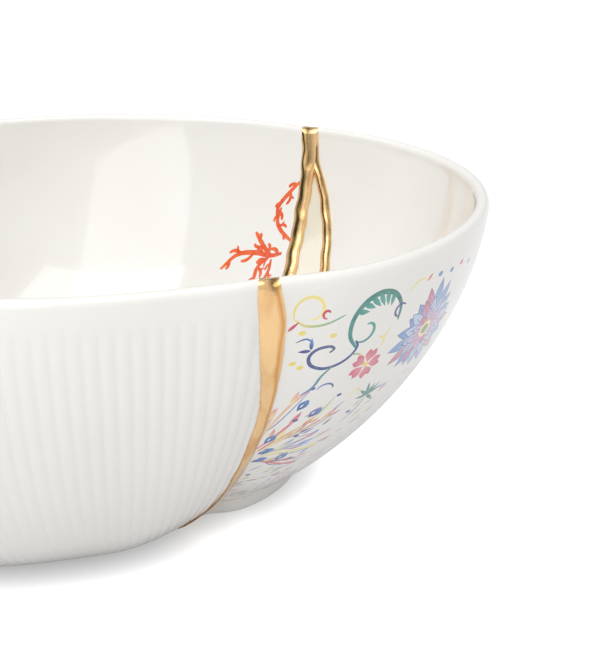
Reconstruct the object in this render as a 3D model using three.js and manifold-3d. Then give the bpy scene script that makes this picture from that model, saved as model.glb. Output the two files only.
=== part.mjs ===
// Kintsugi bowl: shards of two unlike porcelain bowls and a small cream shard, joined by a gold seam.
// Millimetres, +Z up. The bowl stands on z = 0 and the middle of its box is over the origin.

import * as THREE from 'three';
import { mergeVertices } from 'three/addons/utils/BufferGeometryUtils.js';
import Module from 'manifold-3d';

const wasm = await Module();
wasm.setup();

// Overall sizes
const RIM_HEIGHT = 76;
const FLOOR_HEIGHT = 5.5;
const RECESS_HEIGHT = 2.5;
const GAP = 0.4;
const BOX_SHIFT = 0.5;

// White fluted shard: a full round wall that leans, so its base sits to one side of its rim
const FLUTED = {
  centre: new THREE.Vector2(-5.65, 0.45),
  lean: new THREE.Vector2(-17.5, -4),
  outer: bezier([50.5, 0], [70.2, 1.35], [89.2, 42], [90, 73]),
  inner: bezier([40, 5.5], [67, 6.2], [85.4, 44], [86.8, 73]),
  recessRadius: 44,
  swell: 1.7,
  swellAngle: -58,
  swellWidth: 9,
};
const LEAN_EASE = 0.4;
const FLUTE_COUNT = 180;
const FLUTE_DEPTH = 0.35;
const FLUTE_ROWS = [0, 0.14, 0.34, 0.6, 0.94];
const FLUTE_FADE = [0.3, 1, 1, 1, 1];

// Painted shard: a smooth flared wall on a low foot ring
const FLORAL = {
  centre: new THREE.Vector2(12.05, -2.65),
  lean: new THREE.Vector2(0, 0),
  outer: bezier([36.8, 3.6], [54.8, 14.5], [79.7, 42.3], [83.5, 73]),
  inner: bezier([26, 5.5], [50, 12.5], [75.6, 43.5], [80.3, 73]),
  recessRadius: 31,
  swell: -2.5,
  swellAngle: -66,
  swellWidth: 8,
};
const FOOT_TOP = 3.6;

// The break, as x against height: both edges of the seam on the near wall and on the far wall
const NEAR_LEFT = [
  [0, 17], [6, 23], [12, 28.8], [19, 32.8], [30, 36.9], [40, 39.9], [46, 41.1], [62, 41.4], [76, 41.1],
];
const NEAR_RIGHT = [
  [0, 22.5], [4, 25.5], [9.5, 30.4], [18, 34.6], [29, 38.6],
  [39, 41.6], [48, 43.8], [58, 45.4], [68, 46.2], [76, 44.9],
];
const FAR_LEFT = [
  [0, 36], [8, 38], [20, 41], [34, 43.8], [45, 46.3], [52, 47.8], [59, 48.7], [65, 49.6], [76, 50.1],
];
const FAR_RIGHT = [
  [0, 43], [8, 47], [20, 53], [37, 57.4], [46, 58.4], [54, 58], [61, 56.3], [66.5, 54.5], [76, 54.4],
];
const CROSSING = [-40, 45];

// Gold seam and the cream shard it holds
const SEAM_TOP = 75.2;
const SEAM_BOTTOM = 0.5;
const SEAM_CROWN = 0.6;
const GOLD_LEFT_WIDTH = 3.8;
const GOLD_RIGHT_WIDTH = 2.1;
const CREAM_START = -4;
const WALL_STATIONS = 13;
const FLOOR_STATIONS = 6;

function bezier(...corners) {
  return new THREE.CubicBezierCurve(...corners.map(([radius, z]) => new THREE.Vector2(radius, z)));
}

function alongTable(table, at) {
  const last = table.length - 1;
  if (at <= table[0][0]) return table[0][1];
  for (let i = 0; i < last; i++) {
    const [z0, x0] = table[i];
    const [z1, x1] = table[i + 1];
    if (at <= z1) return x0 + ((x1 - x0) * (at - z0)) / (z1 - z0);
  }
  return table[last][1];
}

function breakLeft(y, z) {
  const far = THREE.MathUtils.smoothstep(y, ...CROSSING);
  return THREE.MathUtils.lerp(alongTable(NEAR_LEFT, z), alongTable(FAR_LEFT, z), far);
}

function breakRight(y, z) {
  const far = THREE.MathUtils.smoothstep(y, ...CROSSING);
  return THREE.MathUtils.lerp(alongTable(NEAR_RIGHT, z), alongTable(FAR_RIGHT, z), far);
}

// Axis of a shard's wall at a height. The lean eases off towards the side that faces away from the break.
function centreAt(shard, z, angle) {
  const eased = 1 - LEAN_EASE * THREE.MathUtils.smoothstep(-Math.cos(angle), 0, 1);
  return shard.centre.clone().addScaledVector(shard.lean, eased * (1 - z / RIM_HEIGHT));
}

function swellAt(shard, angle) {
  const away = (THREE.MathUtils.radToDeg(angle) - shard.swellAngle) / shard.swellWidth;
  return shard.swell * Math.exp(-away * away);
}

// A turned blank moved onto its leaning axis, with the local swell beside the near break
function settle(geometry, shard) {
  const position = geometry.attributes.position;
  for (let i = 0; i < position.count; i++) {
    const [x, y, z] = [position.getX(i), position.getY(i), position.getZ(i)];
    const angle = Math.atan2(y, x);
    const radius = Math.hypot(x, y);
    const grown = radius + swellAt(shard, angle) * Math.min(radius / 40, 1);
    const centre = centreAt(shard, z, angle);
    position.setXYZ(i, centre.x + grown * Math.cos(angle), centre.y + grown * Math.sin(angle), z);
  }
  return geometry;
}

function turned(profile, segments) {
  const points = profile.map(([radius, z]) => new THREE.Vector2(radius, z));
  return new THREE.LatheGeometry(points, segments).rotateX(Math.PI / 2);
}

function solidFrom(geometry) {
  geometry.deleteAttribute('normal');
  geometry.deleteAttribute('uv');
  const merged = mergeVertices(geometry, 1e-3);
  const index = merged.index.array;
  const kept = [];
  for (let i = 0; i < index.length; i += 3) {
    const corners = [index[i], index[i + 1], index[i + 2]];
    if (new Set(corners).size === 3) kept.push(...corners);
  }
  return new wasm.Manifold(new wasm.Mesh({
    numProp: 3,
    vertProperties: new Float32Array(merged.attributes.position.array),
    triVerts: new Uint32Array(kept),
  }));
}

function meshFrom(solid, name, material) {
  const data = solid.getMesh();
  const geometry = new THREE.BufferGeometry();
  geometry.setAttribute('position', new THREE.BufferAttribute(new Float32Array(data.vertProperties), 3));
  geometry.setIndex(new THREE.BufferAttribute(new Uint32Array(data.triVerts), 1));
  geometry.translate(BOX_SHIFT, 0, 0);
  geometry.computeVertexNormals();
  const mesh = new THREE.Mesh(geometry, material);
  mesh.name = name;
  return mesh;
}

function profilePoints(curve, steps) {
  return steps.map((t) => curve.getPoint(t).toArray());
}

function evenSteps(count) {
  return Array.from({ length: count + 1 }, (_, i) => i / count);
}

// Hollow of a shard's bowl, open upward, with the inner half of the rounded lip at its mouth
function cavity(shard, segments, rows) {
  const wall = profilePoints(shard.inner, evenSteps(rows));
  const [lipRadius] = wall[wall.length - 1];
  const mouth = [[lipRadius + 0.5, 75.1], [lipRadius + 1.5, RIM_HEIGHT], [lipRadius + 1.5, RIM_HEIGHT + 6]];
  return settle(turned([[0, FLOOR_HEIGHT], ...wall, ...mouth, [0, RIM_HEIGHT + 6]], segments), shard);
}

function recess(shard) {
  const [radius, top] = [shard.recessRadius, RECESS_HEIGHT];
  return settle(turned([[0, -4], [radius + 1, -4], [radius, top], [0, top]], 56), shard);
}

// Everything on one side of the break: a block whose inner face follows the break
function sideBlock(breakAt, reach) {
  const block = new THREE.BoxGeometry(1, 220, 100, 1, 22, 13).translate(0, 0, 40);
  const position = block.attributes.position;
  const towards = Math.sign(reach);
  for (let i = 0; i < position.count; i++) {
    const [y, z] = [position.getY(i), position.getZ(i)];
    const onBreak = position.getX(i) * towards < 0;
    position.setX(i, onBreak ? breakAt(y, z) : reach);
  }
  return block;
}

// Fluted shard: two columns to a flute, alternately ridge and groove
function flutedBlank() {
  const wall = profilePoints(FLUTED.outer, FLUTE_ROWS);
  const [lipRadius] = wall[wall.length - 1];
  const lip = [[lipRadius - 0.6, RIM_HEIGHT]];
  const profile = [[0, 0], ...wall, ...lip, [0, RIM_HEIGHT]];
  const blank = turned(profile, FLUTE_COUNT * 2);
  const position = blank.attributes.position;
  for (let i = 0; i < position.count; i++) {
    const column = Math.floor(i / profile.length);
    const row = (i % profile.length) - 1;
    if (column % 2 === 0 || row < 0 || row >= FLUTE_ROWS.length) continue;
    const shrink = 1 - (FLUTE_DEPTH * FLUTE_FADE[row]) / wall[row][0];
    position.setXYZ(i, position.getX(i) * shrink, position.getY(i) * shrink, position.getZ(i));
  }
  return settle(blank, FLUTED);
}

function flutedShard() {
  return solidFrom(flutedBlank())
    .subtract(solidFrom(cavity(FLUTED, 64, 7)))
    .subtract(solidFrom(recess(FLUTED)))
    .intersect(solidFrom(sideBlock(breakLeft, -140)));
}

// Floral shard: smooth wall on a foot ring with a small outward step
function floralShard() {
  const wall = profilePoints(FLORAL.outer, evenSteps(9));
  const [lipRadius] = wall[wall.length - 1];
  const footRadius = wall[0][0];
  const foot = [[0, 0], [footRadius - 0.6, 0], [footRadius, 0.6], [footRadius, FOOT_TOP - 0.2]];
  const lip = [[lipRadius - 0.3, 75.1], [lipRadius - 1.3, RIM_HEIGHT], [0, RIM_HEIGHT]];
  const blank = settle(turned([...foot, ...wall, ...lip], 90), FLORAL);
  return solidFrom(blank)
    .subtract(solidFrom(cavity(FLORAL, 80, 8)))
    .subtract(solidFrom(recess(FLORAL)))
    .intersect(solidFrom(sideBlock(breakRight, 140)));
}

function radiusAt(curve, z) {
  let [low, high] = [0, 1];
  for (let i = 0; i < 40; i++) {
    const middle = (low + high) / 2;
    if (curve.getPoint(middle).y < z) low = middle;
    else high = middle;
  }
  return curve.getPoint(low).x;
}

// Where a shard's wall meets the break at a height: side is -1 on the near wall and +1 on the far wall
function wallPoint(shard, curve, breakAt, side, z) {
  const centre = centreAt(shard, z, 0);
  const radius = radiusAt(curve, z);
  let y = side * 50;
  let x = breakAt(y, z);
  for (let i = 0; i < 12; i++) {
    const grown = radius + swellAt(shard, Math.atan2(y - centre.y, x - centre.x));
    y = centre.y + side * Math.sqrt(Math.max(grown * grown - (x - centre.x) ** 2, 1));
    x = breakAt(y, z);
  }
  return new THREE.Vector3(x, y, z);
}

// One run of points along the break from the near rim, under the bowl, to the far rim
function breakRun(shard, curve, breakAt, lowest, flat) {
  const near = [];
  const far = [];
  for (const t of evenSteps(WALL_STATIONS)) {
    const z = THREE.MathUtils.lerp(SEAM_TOP, lowest, t);
    near.push(wallPoint(shard, curve, breakAt, -1, z));
    far.unshift(wallPoint(shard, curve, breakAt, 1, z));
  }
  const floor = [];
  const [start, end] = [near[WALL_STATIONS].y, far[0].y];
  for (let i = 1; i <= FLOOR_STATIONS; i++) {
    const y = THREE.MathUtils.lerp(start, end, i / (FLOOR_STATIONS + 1));
    floor.push(new THREE.Vector3(breakAt(y, flat), y, flat));
  }
  return [...near, ...floor, ...far];
}

// A closed bar through a list of stations, each a ring of points in the same order
function barThrough(stations) {
  const sides = stations[0].length;
  const index = [];
  for (let i = 0; i < stations.length - 1; i++) {
    for (let j = 0; j < sides; j++) {
      const a = i * sides + j;
      const b = i * sides + ((j + 1) % sides);
      index.push(a, a + sides, b, b, a + sides, b + sides);
    }
  }
  const last = (stations.length - 1) * sides;
  for (let j = 1; j < sides - 1; j++) {
    index.push(0, j, j + 1, last, last + j + 1, last + j);
  }
  const geometry = new THREE.BufferGeometry().setFromPoints(stations.flat());
  geometry.setIndex(index);
  return geometry;
}

const runs = {
  leftOuter: breakRun(FLUTED, FLUTED.outer, breakLeft, SEAM_BOTTOM, RECESS_HEIGHT + 0.4),
  rightOuter: breakRun(FLORAL, FLORAL.outer, breakRight, SEAM_BOTTOM, RECESS_HEIGHT + 0.4),
  leftInner: breakRun(FLUTED, FLUTED.inner, breakLeft, FLOOR_HEIGHT + 0.1, FLOOR_HEIGHT),
  rightInner: breakRun(FLORAL, FLORAL.inner, breakRight, FLOOR_HEIGHT + 0.1, FLOOR_HEIGHT),
};

// Ring of the bridge between the two shards at a station, rounded outward by the crown
function bridgeRing(i, crown) {
  const outer = (t) => runs.leftOuter[i].clone().lerp(runs.rightOuter[i], t);
  const inner = (t) => runs.leftInner[i].clone().lerp(runs.rightInner[i], t);
  const outward = outer(0.5).sub(inner(0.5)).normalize();
  const raise = (point, amount) => point.addScaledVector(outward, amount);
  return [outer(0), raise(outer(0.5), crown), outer(1), inner(1), raise(inner(0.5), -crown), inner(0)];
}

// The cream shard's place: between the two gold lines, wherever the break is wider than both, on the far side
function creamPlace(clearance) {
  const farSide = new THREE.BoxGeometry(300, 150, 200).translate(0, 75 + CREAM_START - clearance, 0);
  const fromLeft = (y, z) => breakLeft(y, z) + GOLD_LEFT_WIDTH - clearance;
  const fromRight = (y, z) => breakRight(y, z) - GOLD_RIGHT_WIDTH + clearance;
  return solidFrom(farSide)
    .intersect(solidFrom(sideBlock(fromLeft, 140)))
    .intersect(solidFrom(sideBlock(fromRight, -140)));
}

function creamShard() {
  const rings = runs.leftInner.map((_, i) => bridgeRing(i, 0));
  return solidFrom(barThrough(rings)).intersect(creamPlace(0));
}

function goldSeam() {
  const rings = runs.leftInner.map((_, i) => bridgeRing(i, SEAM_CROWN));
  return solidFrom(barThrough(rings))
    .intersect(solidFrom(sideBlock((y, z) => breakLeft(y, z) + GAP, 140)))
    .intersect(solidFrom(sideBlock((y, z) => breakRight(y, z) - GAP, -140)))
    .subtract(creamPlace(GAP));
}

const porcelain = { roughness: 0.18, metalness: 0 };
const bowl = new THREE.Group();
bowl.add(
  meshFrom(flutedShard(), 'fluted_shard', new THREE.MeshStandardMaterial({ color: 0xf3f1ec, ...porcelain })),
  meshFrom(floralShard(), 'floral_shard', new THREE.MeshStandardMaterial({ color: 0xeff0f1, ...porcelain })),
  meshFrom(creamShard(), 'cream_shard', new THREE.MeshStandardMaterial({ color: 0xf4ecd6, ...porcelain })),
  meshFrom(
    goldSeam(),
    'gold_seam',
    new THREE.MeshStandardMaterial({ color: 0xe0b060, roughness: 0.15, metalness: 1 }),
  ),
);

export default bowl;
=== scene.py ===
# Kintsugi bowl: a white fluted shard, a painted shard and a porcelain sliver, its cream tone painted shade,
# joined by a raised gold seam.
# Lengths are in millimetres in the shard's own terms and turned into metres when a mesh is made.
import math
import bpy
import numpy as np
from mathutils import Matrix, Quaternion, Vector
from mathutils.geometry import delaunay_2d_cdt


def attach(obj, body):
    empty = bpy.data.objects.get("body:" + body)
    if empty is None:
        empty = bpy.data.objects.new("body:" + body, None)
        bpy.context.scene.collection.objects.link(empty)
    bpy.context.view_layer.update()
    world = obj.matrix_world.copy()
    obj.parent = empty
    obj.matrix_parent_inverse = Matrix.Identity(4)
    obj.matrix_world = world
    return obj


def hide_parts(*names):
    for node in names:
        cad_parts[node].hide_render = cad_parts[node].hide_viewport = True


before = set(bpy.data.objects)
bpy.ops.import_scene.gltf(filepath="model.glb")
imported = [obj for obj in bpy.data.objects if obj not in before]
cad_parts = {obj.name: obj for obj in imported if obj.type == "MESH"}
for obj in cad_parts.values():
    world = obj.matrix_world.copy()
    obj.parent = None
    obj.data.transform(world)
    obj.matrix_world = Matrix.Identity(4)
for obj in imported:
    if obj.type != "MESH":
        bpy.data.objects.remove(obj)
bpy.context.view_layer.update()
MM = 0.001
FULL_TURN = 2 * math.pi

# Sizes of the whole bowl
RIM_HEIGHT = 76.0
LIP_SHOULDER = 74.3
LIP_HALF = 1.6
FLOOR_HEIGHT = 5.5
RECESS_HEIGHT = 2.5
BOX_SHIFT = 0.5
WALL_SAMPLES = 160
LIP_SAMPLES = 40
LEAN_EASE = 0.4
LEAN_EASE_RADIUS = 40.0
SWELL_FULL_RADIUS = 40.0

# The two bowls that the shards come from. A wall is a curve of radius against height.
FLUTED = {
    "name": "fluted_shard",
    "centre": (-5.65 + BOX_SHIFT, 0.45),
    "lean": (-17.5, -4.0),
    "outer": [(50.5, 0.0), (70.2, 1.35), (89.0, 42.0), (89.3, 73.0)],
    "inner": [(40.0, 5.5), (67.0, 6.2), (85.4, 44.0), (86.1, 73.0)],
    "under": [(0.0, 2.5), (20.0, 2.5), (43.2, 2.5), (43.9, 2.2), (44.3, 0.6), (44.8, 0.1), (45.6, 0.0)],
    "swell": (1.7, math.radians(-58), math.radians(9)),
    "flute_axis": (-5.0, 0.0),
    "side": -1,
    "facing": math.pi,
}
FLORAL = {
    "name": "floral_shard",
    "centre": (12.05 + BOX_SHIFT, -2.65),
    "lean": (0.0, 0.0),
    "outer": [(36.9, 3.6), (54.8, 14.5), (79.7, 42.3), (83.4, 73.0)],
    "inner": [(26.0, 5.5), (50.0, 12.5), (75.6, 43.5), (80.2, 73.0)],
    "under": [
        (0.0, 2.5), (15.0, 2.5), (30.2, 2.5), (30.9, 2.2), (31.3, 0.6), (31.8, 0.1), (32.6, 0.0),
        (36.0, 0.0), (36.5, 0.12), (36.75, 0.5), (36.85, 1.2), (36.9, 3.3),
    ],
    "swell": (-2.5, math.radians(-66), math.radians(8)),
    "side": 1,
    "facing": math.radians(-13),
}
FLUTE_COUNT = 180
FLUTE_STEPS = 8
FLUTE_DEPTH = 0.17
FLUTE_TOP = 68.5
FLUTE_BOTTOM = 0.6
FLUTE_LOW_SHARE = 0.5
FLUTE_SETTLE = 14.0
FLUTE_FADE = (1.2, -1.8)
FLUTE_DEEPENS = (6.0, 46.0)
FLUTE_SHARPNESS = 1.6
TURN_ROUNDS = 8

# The break: x against height for both edges of the seam, on the near wall and on the far wall
NEAR_LEFT = [
    (0, 17), (6, 23), (12, 28.8), (19, 32.8), (30, 36.9), (40, 39.9), (46, 41.1), (62, 41.4), (76, 41.1),
]
NEAR_RIGHT = [
    (0, 22.5), (4, 25.5), (9.5, 30.4), (18, 34.6), (29, 38.6), (39, 41.6), (48, 43.8),
    (58, 45.4), (68, 46.2), (76, 44.9),
]
FAR_LEFT = [
    (0, 36), (8, 38), (20, 41), (34, 43.8), (45, 46.3), (52, 47.8), (59, 48.7), (65, 49.6), (76, 50.1),
]
FAR_RIGHT = [
    (0, 43), (8, 47), (20, 53), (37, 57.4), (46, 58.4), (54, 58), (61, 56.3), (66.5, 54.5), (76, 54.4),
]
CROSSING = (-40.0, 45.0)
BREAK_SMOOTH = 5.0
TABLE_HEIGHTS = np.linspace(-8.0, 88.0, 385)
SCAN_STEPS = 240
HALVINGS = 30
RING_SAMPLES = 721
TIP_NEAR = 1e-3

# Gold and cream
GOLD_LEFT_WIDTH = 3.8
GOLD_RIGHT_WIDTH = 2.1
GOLD_OVERLAP = 0.25
CREAM_LAP = 0.6
CREAM_START = -4.0
CREAM_EASE = 4.0


def smoothstep(value, low, high):
    t = np.clip((value - low) / (high - low), 0.0, 1.0)
    return t * t * (3 - 2 * t)


def smooth_table(table):
    values = np.interp(TABLE_HEIGHTS, *np.array(table, float).T)
    half = int(BREAK_SMOOTH / (TABLE_HEIGHTS[1] - TABLE_HEIGHTS[0]))
    window = np.hanning(2 * half + 1)
    padded = np.pad(values, half, mode="edge")
    return TABLE_HEIGHTS, np.convolve(padded, window / window.sum(), mode="valid")


BREAKS = {
    -1: (smooth_table(NEAR_LEFT), smooth_table(FAR_LEFT)),
    1: (smooth_table(NEAR_RIGHT), smooth_table(FAR_RIGHT)),
}


def break_x(side, y, z):
    near, far = BREAKS[side]
    share = smoothstep(y, *CROSSING)
    return np.interp(z, *near) * (1 - share) + np.interp(z, *far) * share + BOX_SHIFT


def bezier(corners, t):
    a, b, c, d = np.array(corners, float)
    t = np.asarray(t, float)[..., None]
    return (1 - t) ** 3 * a + 3 * (1 - t) ** 2 * t * b + 3 * (1 - t) * t * t * c + t**3 * d


def lip_arc(shard, angles):
    radius = shard["outer"][-1][0] - LIP_HALF
    rise = RIM_HEIGHT - LIP_SHOULDER
    return np.stack([radius + LIP_HALF * np.cos(angles), LIP_SHOULDER + rise * np.sin(angles)], axis=-1)


# Section of a shard from the middle of its underside, up the wall, over the lip and down to the floor
def section(shard):
    outer = bezier(shard["outer"], np.linspace(0, 1, WALL_SAMPLES))
    inner = bezier(shard["inner"], np.linspace(1, 0, WALL_SAMPLES))
    lip = lip_arc(shard, np.linspace(0, math.pi, LIP_SAMPLES))
    runs = [np.array(shard["under"], float), outer, lip, inner, np.array([(0.0, FLOOR_HEIGHT)])]
    points = np.concatenate(runs)
    steps = np.hypot(*np.diff(points, axis=0).T)
    keep = np.concatenate([[True], steps > 1e-6])
    points = points[keep]
    along = np.concatenate([[0.0], np.cumsum(np.hypot(*np.diff(points, axis=0).T))])
    marks = {"end": along[-1], "lip": along[np.argmax(points[:, 1])]}
    corners = {"wall": outer[0], "shoulder": outer[-1], "inside": inner[0], "floor": inner[-1]}
    for name, corner in corners.items():
        marks[name] = along[np.argmin(np.hypot(*(points - corner).T))]
    return {"along": along, "points": points, **marks}


for bowl in (FLUTED, FLORAL):
    bowl["section"] = section(bowl)


# Axis of a shard at a height. The lean eases off on the side away from the break, but not in the middle.
def centre_at(shard, z, angle, radius):
    eased = 1 - LEAN_EASE * smoothstep(-np.cos(angle), 0.0, 1.0) * smoothstep(radius, 0.0, LEAN_EASE_RADIUS)
    lean = eased * (1 - z / RIM_HEIGHT)
    return shard["centre"][0] + shard["lean"][0] * lean, shard["centre"][1] + shard["lean"][1] * lean


# The same angle within half a turn of zero
def half_turn(angle):
    return (angle + math.pi) % FULL_TURN - math.pi


# Radius with the local swelling of the wall, which fades out towards the middle
def grown_radius(shard, radius, angle):
    amount, middle, width = shard["swell"]
    turn = half_turn(angle - middle)
    return radius + amount * np.exp(-((turn / width) ** 2)) * np.minimum(radius / SWELL_FULL_RADIUS, 1)


def flute_at(shard, angle, z, outside):
    if shard is not FLUTED:
        return np.zeros_like(angle)
    start, end = FLUTE_FADE
    fade = smoothstep(z, FLUTE_TOP + start, FLUTE_TOP + end) * smoothstep(z, 0.0, FLUTE_BOTTOM)
    fade = fade * (FLUTE_LOW_SHARE + (1 - FLUTE_LOW_SHARE) * smoothstep(z, *FLUTE_DEEPENS))
    groove = 0.5 - 0.5 * np.cos(FLUTE_COUNT * angle)
    return np.where(outside, FLUTE_DEPTH * fade * groove**FLUTE_SHARPNESS, 0.0)


def place(shard, radius, z, angle):
    grown = grown_radius(shard, radius, angle)
    x, y = centre_at(shard, z, angle, radius)
    return np.stack([x + grown * np.cos(angle), y + grown * np.sin(angle), z + 0 * angle], axis=-1)


# The flutes stand upright round an axis of their own, though the wall leans: turns an angle round that axis
# into an angle round the wall's centre. Away from the outer wall the two are the same.
def wall_angle(shard, angle, along, radius, z):
    if "flute_axis" not in shard:
        return angle
    cut = shard["section"]
    share = smoothstep(along, cut["wall"], cut["wall"] + FLUTE_SETTLE)
    share = share * smoothstep(along, cut["inside"], cut["shoulder"])
    turn = angle
    for _ in range(TURN_ROUNDS):
        x, y = centre_at(shard, z, turn, radius)
        grown = grown_radius(shard, radius, turn)
        dx, dy = share * (x - shard["flute_axis"][0]), share * (y - shard["flute_axis"][1])
        ux, uy = np.cos(angle), np.sin(angle)
        reach = dx * ux + dy * uy + np.sqrt(np.maximum(grown**2 - (dx * uy - dy * ux) ** 2, 0.0))
        turn = np.arctan2(reach * uy - dy, reach * ux - dx)
        turn = angle + half_turn(turn - angle)
    return turn


def skin_point(shard, angle, along):
    cut = shard["section"]
    radius = np.interp(along, cut["along"], cut["points"][:, 0])
    z = np.interp(along, cut["along"], cut["points"][:, 1])
    outside = (along > cut["wall"]) & (along < cut["shoulder"])
    turn = wall_angle(shard, angle, along, radius, z)
    return place(shard, radius - flute_at(shard, angle, z, outside), z, turn)


# Angles at which the ring of the shard at one place of its section starts and ends. None: no ring there.
def ring_span(shard, along):
    side = shard["side"]
    start = shard["facing"]

    def within(angle):
        point = skin_point(shard, angle, np.full_like(angle, along))
        return side * (point[:, 0] - break_x(side, point[:, 1], point[:, 2]))

    ends = []
    for turn in (-1, 1):
        angles = start + turn * np.linspace(0, math.pi, RING_SAMPLES)
        inside = within(angles)
        if inside[0] <= 0:
            return None
        out = np.nonzero(inside <= 0)[0]
        if len(out) == 0:
            ends.append(angles[-1])
            continue
        k = out[0]
        share = inside[k - 1] / (inside[k - 1] - inside[k])
        ends.append(angles[k - 1] + share * (angles[k] - angles[k - 1]))
    return tuple(ends)


def has_opening(shard, along):
    span = ring_span(shard, along)
    return span is not None and span[1] - span[0] < CLOSED_TURN


# Where the break first meets the shard, going out from the middle of the underside or of the floor
def opening_start(shard, low, high):
    steps = np.linspace(low, high, SCAN_STEPS)
    closed = [k for k, along in enumerate(steps) if not has_opening(shard, along)]
    low, high = steps[closed[-1]], steps[closed[-1] + 1]
    for _ in range(HALVINGS):
        middle = (low + high) / 2
        if has_opening(shard, middle):
            high = middle
        else:
            low = middle
    return high


# Painting and meshing of a shard's skin: the skin is laid flat as angle against length along the section,
# cut into triangles that follow every brush stroke, and wrapped back onto the shard.
FLAT_SCALE = 60.0
CHAIN_STEP = 1.0
CORNER_HALF = 0.15
LIP_CHAIN = 24
TIP_CHAIN = 9
SLIT_CHAIN = 12
LIP_ROWS = 15
LIP_SPACING = math.radians(1.2)
LIP_MARGIN = 0.5
INNER_STEP = 4.0
INNER_SPACING = math.radians(2.5)
EDGE_GAP = 0.6
FLOOR_ROWS = 5
CLOSED_TURN = FULL_TURN - 1e-6
NORMAL_TURN = 0.0004
NORMAL_STEP = 0.04
BARE = (1.0, 1.0, 1.0, 0.0)


def skin_outline(shard):
    cut = shard["section"]
    first = opening_start(shard, 0.0, cut["shoulder"])
    last = opening_start(shard, cut["end"], cut["inside"])
    count = int((last - first) / CHAIN_STEP)
    lip_run = np.linspace(cut["shoulder"] - LIP_MARGIN, cut["inside"] + LIP_MARGIN, LIP_CHAIN)
    tip_run = CHAIN_STEP * np.linspace(0.0, 1.0, TIP_CHAIN)[1:-1] ** 2
    runs = [np.linspace(first, last, count), lip_run, [cut["lip"]], first + tip_run, last - tip_run]
    steps = np.unique(np.concatenate(runs))
    shard["tips"] = [np.mean(ring_span(shard, along)) - math.pi for along in (first, last)]
    spans = [(*ring_span(shard, along), along) for along in steps]
    if shard["side"] > 0:
        starts = [(start, along) for start, _, along in spans[1:-1]]
        ends = [(end, along) for _, end, along in spans]
        return np.array([ends[0]] + starts + ends[:0:-1]), first, last
    under = [(shard["tips"][0], along) for along in np.linspace(0.0, first, SLIT_CHAIN)]
    floor = [(shard["tips"][1], along) for along in np.linspace(last, cut["end"], SLIT_CHAIN)]
    starts = under + [(start, along) for start, _, along in spans[1:-1]] + floor
    ends = [(tip + FULL_TURN, along) for tip, along in under]
    ends += [(end, along) for _, end, along in spans[1:-1]]
    ends += [(tip + FULL_TURN, along) for tip, along in floor]
    return np.array(starts + ends[::-1]), first, last


def grid_points(shard, rows):
    points = []
    for along, spacing in rows:
        span = ring_span(shard, along)
        if span is None:
            continue
        if span[1] - span[0] > CLOSED_TURN:
            start = shard["tips"][0 if along < shard["section"]["lip"] else 1]
            span = (start, start + FULL_TURN)
        low = math.ceil((span[0] + EDGE_GAP * spacing) / spacing)
        high = math.floor((span[1] - EDGE_GAP * spacing) / spacing)
        for k in range(low, high + 1):
            points.append((k * spacing, along))
    return np.array(points)


def skin_normals(shard, angle, along):
    end = shard["section"]["end"]
    turn = skin_point(shard, angle + NORMAL_TURN, along) - skin_point(shard, angle - NORMAL_TURN, along)
    up = skin_point(shard, angle, np.minimum(along + NORMAL_STEP, end))
    up = up - skin_point(shard, angle, np.maximum(along - NORMAL_STEP, 0.0))
    normal = np.cross(turn, up)
    length = np.linalg.norm(normal, axis=1)
    pole = length < 1e-9
    normal[pole] = np.where((along[pole] < end / 2)[:, None], (0.0, 0.0, -1.0), (0.0, 0.0, 1.0))
    length[pole] = 1.0
    return normal / length[:, None]


# Triangles between two runs of vertices that start at the same place
def zip_runs(points, run_a, run_b):
    def shares(run):
        gone = np.concatenate([[0], np.cumsum(np.linalg.norm(np.diff(points[run], axis=0), axis=1))])
        return gone / gone[-1]

    share_a, share_b = shares(run_a), shares(run_b)
    i = j = 0
    faces = []
    while i < len(run_a) - 1 or j < len(run_b) - 1:
        more_a = share_a[i + 1] if i < len(run_a) - 1 else 2.0
        more_b = share_b[j + 1] if j < len(run_b) - 1 else 2.0
        if more_a <= more_b:
            faces.append((run_a[i], run_a[i + 1], run_b[j]))
            i += 1
        else:
            faces.append((run_a[i], run_b[j + 1], run_b[j]))
            j += 1
    return faces


# Faces of the two broken edges of a shard, each between its outer and its inner run
def cut_faces(shard, flat, points, faces, first, last):
    directed = {edge for a, b, c in faces for edge in ((a, b), (b, c), (c, a))}
    rim = sorted({v for a, b in directed if (b, a) not in directed for v in (a, b)})
    spans = np.array([ring_span(shard, along) for along in flat[rim, 1].clip(first, last)])
    middle = spans.mean(axis=1)
    tips = [v for v in rim if min(abs(flat[v, 1] - first), abs(flat[v, 1] - last)) < TIP_NEAR]
    made = []
    for far_end in (False, True):
        chain = [v for v, m in zip(rim, middle) if (flat[v, 0] > m) == far_end and v not in tips]
        chain = [v for v in chain if first < flat[v, 1] < last]
        chain += [v for v in tips if shard["side"] > 0 or (flat[v, 0] > math.pi) == far_end]
        chain.sort(key=lambda v: flat[v, 1])
        lip = min(range(len(chain)), key=lambda k: abs(flat[chain[k], 1] - shard["section"]["lip"]))
        sides = zip_runs(points, chain[lip::-1], chain[lip:])
        same_way = (chain[lip], chain[lip - 1]) in directed
        made += [(a, c, b) if same_way else (a, b, c) for a, b, c in sides]
    return made


# Both ends of a closed ring take the same angle, so that they fall on one vertex
def joined_angles(shard, flat):
    angle = flat[:, 0].copy()
    below = flat[:, 1] < shard["section"]["lip"]
    for tip, part in zip(shard["tips"], (below, ~below)):
        near = np.abs(half_turn(angle - tip)) < TIP_NEAR
        angle[near & part] = tip
    return angle


def counter_clockwise(polygon):
    x, y = polygon.T
    area = np.sum(x * np.roll(y, -1) - np.roll(x, -1) * y)
    return polygon if area > 0 else polygon[::-1]


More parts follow.
